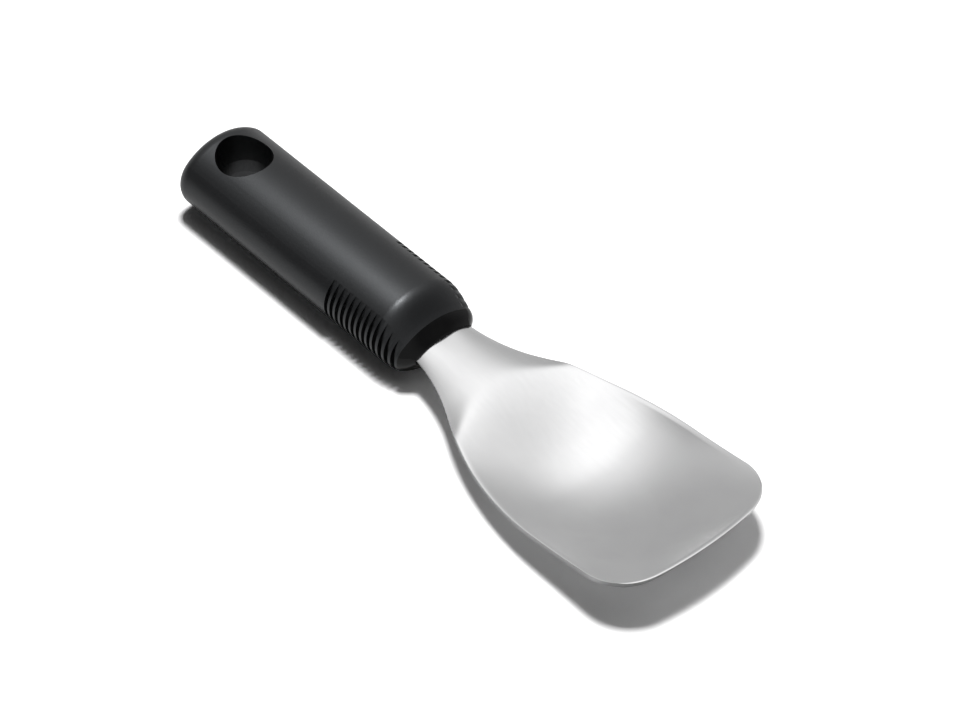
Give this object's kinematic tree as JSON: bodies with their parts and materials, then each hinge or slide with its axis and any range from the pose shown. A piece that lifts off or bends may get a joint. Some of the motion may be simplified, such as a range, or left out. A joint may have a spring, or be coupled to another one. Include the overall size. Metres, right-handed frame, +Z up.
{
  "type": "ice cream spade",
  "caption": "Flat-tipped spade for hard ice cream: a dished forged blade with a narrow neck, set in a soft finned grip with a round hang hole.",
  "frame": {"origin": "on the resting plane, under the middle of the spade's length and on its centre line", "axes": "+X from the grip's tail to the blade's tip, +Y across the blade, +Z up out of the bowl"},
  "size_m": [0.228, 0.066, 0.0258],
  "materials": {
    "steel": "satin",
    "collar_plastic": "gloss",
    "grip_rubber": "matte"
  },
  "bodies": {
    "root": {"blade": "steel", "handle_core": "collar_plastic", "grip": "grip_rubber"}
  },
  "joints": []
}
